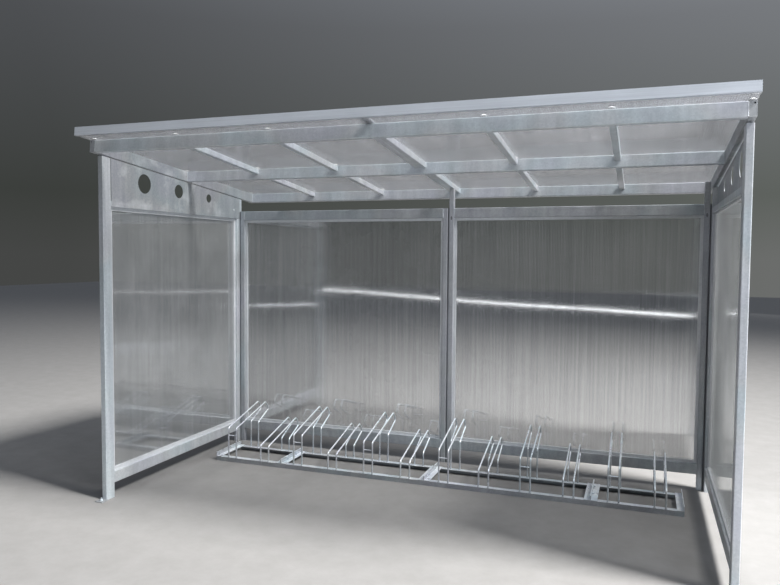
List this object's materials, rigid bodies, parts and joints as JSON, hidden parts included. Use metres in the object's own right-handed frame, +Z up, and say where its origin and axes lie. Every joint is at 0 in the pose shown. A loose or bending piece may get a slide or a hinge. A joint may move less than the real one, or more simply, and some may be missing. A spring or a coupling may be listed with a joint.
{
  "type": "bike shelter",
  "caption": "Open-fronted lean-to bicycle shelter of square steel tube with clear twin-wall sides, back and roof, and a floor rack of bent-rod wheel holders at alternate heights.",
  "frame": {"origin": "on the ground, midway between the side frames and midway along their depth", "axes": "+X to the right of someone facing the open front, +Y towards the back wall, +Z up"},
  "size_m": [4.02, 2.2537, 2.5302],
  "materials": {
    "galvanised_steel": "satin",
    "seal_rubber": "matte",
    "bead_aluminium": "satin",
    "clear_sheet": "gloss"
  },
  "bodies": {
    "root": {"front_posts": "galvanised_steel", "rear_posts": "galvanised_steel", "side_bottom_rails": "galvanised_steel", "side_middle_rails": "galvanised_steel", "vent_plates": "galvanised_steel", "side_panel_beads": "bead_aluminium", "side_panels": "clear_sheet", "foot_plates": "galvanised_steel", "back_left_uprights": "galvanised_steel", "back_right_uprights": "galvanised_steel", "back_top_rails": "galvanised_steel", "back_bottom_rails": "galvanised_steel", "back_panel_beads": "bead_aluminium", "back_panels": "clear_sheet", "frame_seals": "seal_rubber", "roof_packers": "galvanised_steel", "roof_left_beams": "galvanised_steel", "roof_right_beams": "galvanised_steel", "roof_end_rafters": "galvanised_steel", "roof_left_rafters": "galvanised_steel", "roof_right_rafters": "galvanised_steel", "roof_sheets": "clear_sheet", "roof_joint_strip": "bead_aluminium", "roof_front_trim": "bead_aluminium", "holder_ties": "galvanised_steel", "rack_1_rails": "galvanised_steel", "rack_1_crossbars": "galvanised_steel", "rack_2_rails": "galvanised_steel", "rack_2_crossbars": "galvanised_steel", "rack_3_rails": "galvanised_steel", "rack_3_crossbars": "galvanised_steel", "rack_4_rails": "galvanised_steel", "rack_4_crossbars": "galvanised_steel", "wheel_holder_1": "galvanised_steel", "wheel_holder_2": "galvanised_steel", "wheel_holder_3": "galvanised_steel", "wheel_holder_4": "galvanised_steel", "wheel_holder_5": "galvanised_steel", "wheel_holder_6": "galvanised_steel", "wheel_holder_7": "galvanised_steel", "wheel_holder_8": "galvanised_steel", "wheel_holder_9": "galvanised_steel", "wheel_holder_10": "galvanised_steel", "wheel_holder_11": "galvanised_steel", "wheel_holder_12": "galvanised_steel"}
  },
  "joints": []
}
